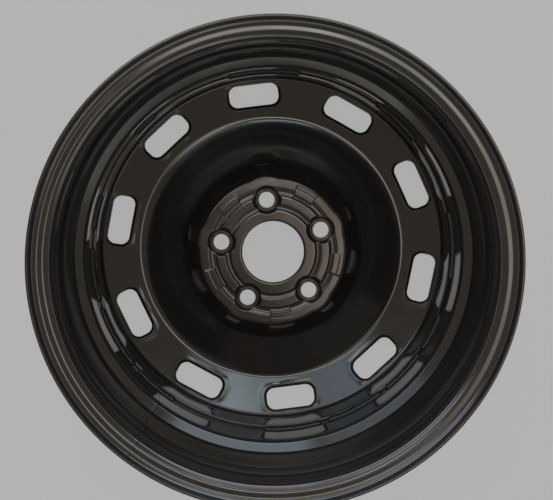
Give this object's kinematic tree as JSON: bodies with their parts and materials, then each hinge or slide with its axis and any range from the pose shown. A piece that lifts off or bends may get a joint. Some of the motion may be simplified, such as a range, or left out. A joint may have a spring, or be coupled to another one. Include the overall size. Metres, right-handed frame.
{
  "type": "steel wheel",
  "caption": "Pressed steel road wheel with a drop centre rim, a stamped disc with vent slots, a centre bore and a bolt circle, lying with its inboard side up.",
  "frame": {"origin": "on the spin axis, half way between the two flanges of the rim", "axes": "+Z along the spin axis towards the inboard side, which faces up; +Y through the first bolt hole, as seen at the top of the picture"},
  "size_m": [0.4402, 0.44, 0.1888],
  "materials": {
    "rim_paint": "semi-gloss black dip paint over rolled steel",
    "disc_paint": "semi-gloss black dip paint over stamped steel",
    "weld_paint": "black dip paint over rippled weld metal"
  },
  "bodies": {
    "root": {"rim": "rim_paint", "disc": "disc_paint", "weld_beads": "weld_paint"}
  },
  "joints": []
}
